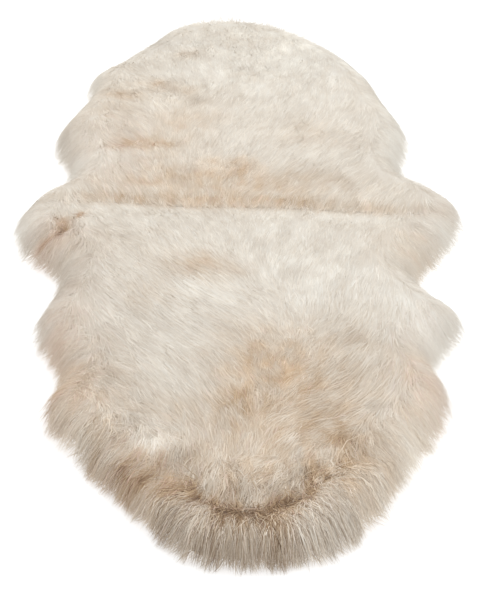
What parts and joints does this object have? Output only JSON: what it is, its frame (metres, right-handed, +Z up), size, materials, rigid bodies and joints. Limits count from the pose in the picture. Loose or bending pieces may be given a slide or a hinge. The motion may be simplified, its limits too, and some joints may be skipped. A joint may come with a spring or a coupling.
{
  "type": "sheepskin rug",
  "caption": "Cream long-wool sheepskin rug of pelts sewn end to end, lying flat, with a lobed outline and thick soft pile that splays into locks at its edge.",
  "frame": {"origin": "on the floor under the middle of the rug's box", "axes": "+Y along the rug's length towards the far pelt, +X to the right seen from the near end, +Z up"},
  "size_m": [0.706, 1.8397, 0.066],
  "materials": {
    "wool": "long natural cream wool, soft and matt",
    "hide": "suede flesh side of the hide",
    "thread": "waxed seam thread"
  },
  "bodies": {
    "root": {"pelt_near": "wool", "pelt_far": "wool"}
  },
  "joints": []
}
